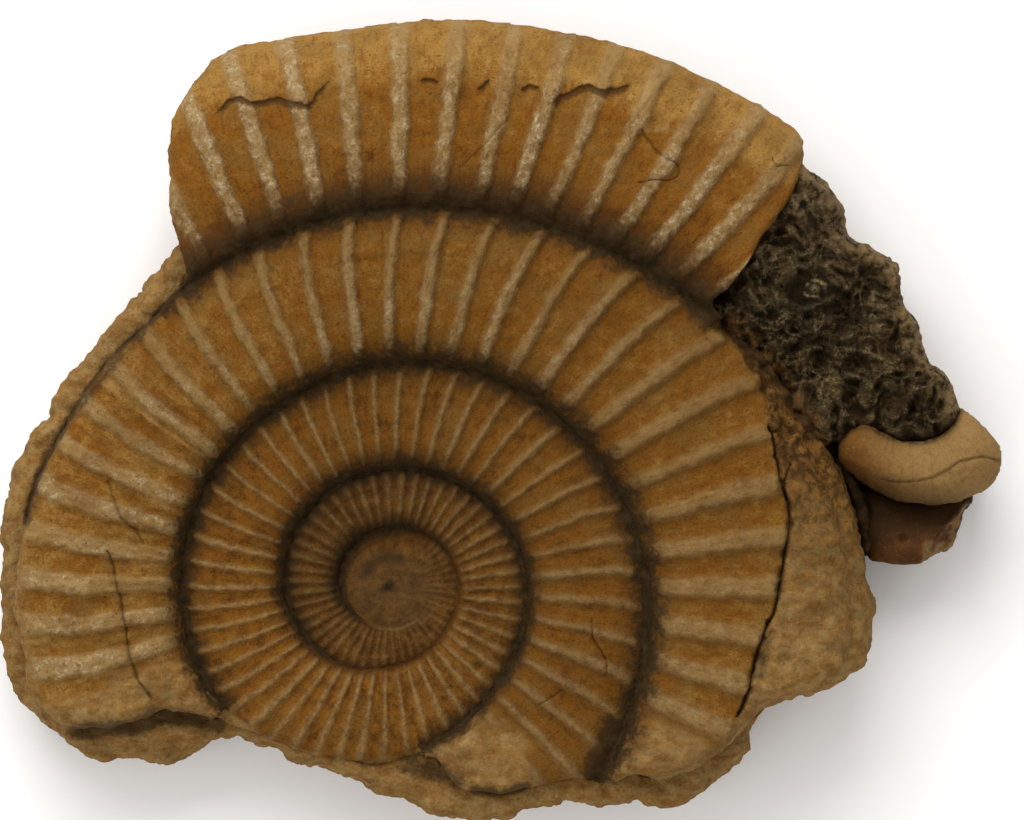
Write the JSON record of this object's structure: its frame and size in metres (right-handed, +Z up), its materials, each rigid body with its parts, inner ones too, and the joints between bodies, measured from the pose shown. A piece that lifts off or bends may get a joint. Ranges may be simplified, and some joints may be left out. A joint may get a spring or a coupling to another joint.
{
  "type": "ammonite fossil",
  "caption": "Large ribbed ammonite lying face up on its own stone, with a broken outer whorl, a dark crusted chamber wall and smooth folds at one end.",
  "frame": {"origin": "centre of the bounding box in plan, on the flat back that the fossil rests on", "axes": "+Z up out of the ribbed face; +X to the right and +Y to the top of the fossil seen face up, with the broken outer whorl at +Y and the folds at +X"},
  "size_m": [0.301, 0.2416, 0.0566],
  "materials": {
    "ammonite": "matt, pale calcite on the ribs",
    "matrix_stone": "rough, granular",
    "dark_chamber_wall": "rough, crusted",
    "upper_fold": "smooth, matt",
    "lower_fold": "smooth, matt"
  },
  "bodies": {
    "root": {"ammonite": "ammonite", "matrix_stone": "matrix_stone", "dark_chamber_wall": "dark_chamber_wall", "upper_fold": "upper_fold", "lower_fold": "lower_fold"}
  },
  "joints": []
}
